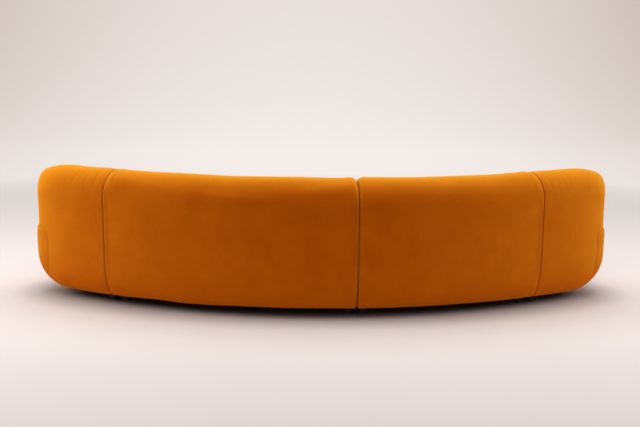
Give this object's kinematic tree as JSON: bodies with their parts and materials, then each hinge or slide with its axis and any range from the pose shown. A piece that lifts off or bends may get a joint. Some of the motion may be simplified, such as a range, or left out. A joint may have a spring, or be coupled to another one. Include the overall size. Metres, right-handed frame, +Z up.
{
  "type": "sectional sofa",
  "caption": "Curved upholstered sectional sofa with a low wraparound back, built as modules that stand on block feet and clip together side by side.",
  "frame": {"origin": "middle of the footprint, on the floor under the feet", "axes": "+X to the right as seen from behind the sofa, along the row; +Y from the outside of the curve towards the sitter's side; +Z up"},
  "size_m": [3.1878, 1.2478, 0.72],
  "materials": {
    "velvet": "matte",
    "foam": "matte",
    "timber": "matte",
    "board": "matte",
    "webbing": "matte",
    "dust_cloth": "matte",
    "foot": "satin",
    "steel": "satin"
  },
  "bodies": {
    "left_centre": {"centre_joint_socket_bar": "steel", "left_centre_back_board": "board", "left_centre_back_cover": "velvet", "left_centre_back_foam": "foam", "left_centre_back_frame": "timber", "left_centre_base_frame": "timber", "left_centre_dust_cover": "dust_cloth", "left_centre_foot_front_left": "foot", "left_centre_foot_front_right": "foot", "left_centre_foot_rear_left": "foot", "left_centre_foot_rear_right": "foot", "left_centre_seat_cover": "velvet", "left_centre_seat_foam": "foam", "left_centre_webbing": "webbing", "left_joint_socket_bar": "steel"},
    "right_centre": {"centre_joint_tongue_bar": "steel", "right_centre_back_board": "board", "right_centre_back_cover": "velvet", "right_centre_back_foam": "foam", "right_centre_back_frame": "timber", "right_centre_base_frame": "timber", "right_centre_dust_cover": "dust_cloth", "right_centre_foot_front_left": "foot", "right_centre_foot_front_right": "foot", "right_centre_foot_rear_left": "foot", "right_centre_foot_rear_right": "foot", "right_centre_seat_cover": "velvet", "right_centre_seat_foam": "foam", "right_centre_webbing": "webbing", "right_joint_socket_bar": "steel"},
    "left_end": {"left_end_back_board": "board", "left_end_back_cover": "velvet", "left_end_back_foam": "foam", "left_end_back_frame": "timber", "left_end_base_frame": "timber", "left_end_dust_cover": "dust_cloth", "left_end_foot_front_left": "foot", "left_end_foot_front_right": "foot", "left_end_foot_rear_left": "foot", "left_end_foot_rear_right": "foot", "left_end_seat_cover": "velvet", "left_end_seat_foam": "foam", "left_end_webbing": "webbing", "left_joint_tongue_bar": "steel"},
    "right_end": {"right_end_back_board": "board", "right_end_back_cover": "velvet", "right_end_back_foam": "foam", "right_end_back_frame": "timber", "right_end_base_frame": "timber", "right_end_dust_cover": "dust_cloth", "right_end_foot_front_left": "foot", "right_end_foot_front_right": "foot", "right_end_foot_rear_left": "foot", "right_end_foot_rear_right": "foot", "right_end_seat_cover": "velvet", "right_end_seat_foam": "foam", "right_end_webbing": "webbing", "right_joint_tongue_bar": "steel"}
  },
  "joints": [
    {"name": "left_end_slide", "type": "slide", "parent": "left_centre", "child": "left_end", "axis": [-0.912, 0.4101, 0], "range_m": [0, 0.3]},
    {"name": "right_centre_slide", "type": "slide", "parent": "left_centre", "child": "right_centre", "axis": [0.9982, 0.06, 0], "range_m": [0, 0.3]},
    {"name": "right_end_slide", "type": "slide", "parent": "right_centre", "child": "right_end", "axis": [0.912, 0.4101, 0], "range_m": [0, 0.3]}
  ]
}
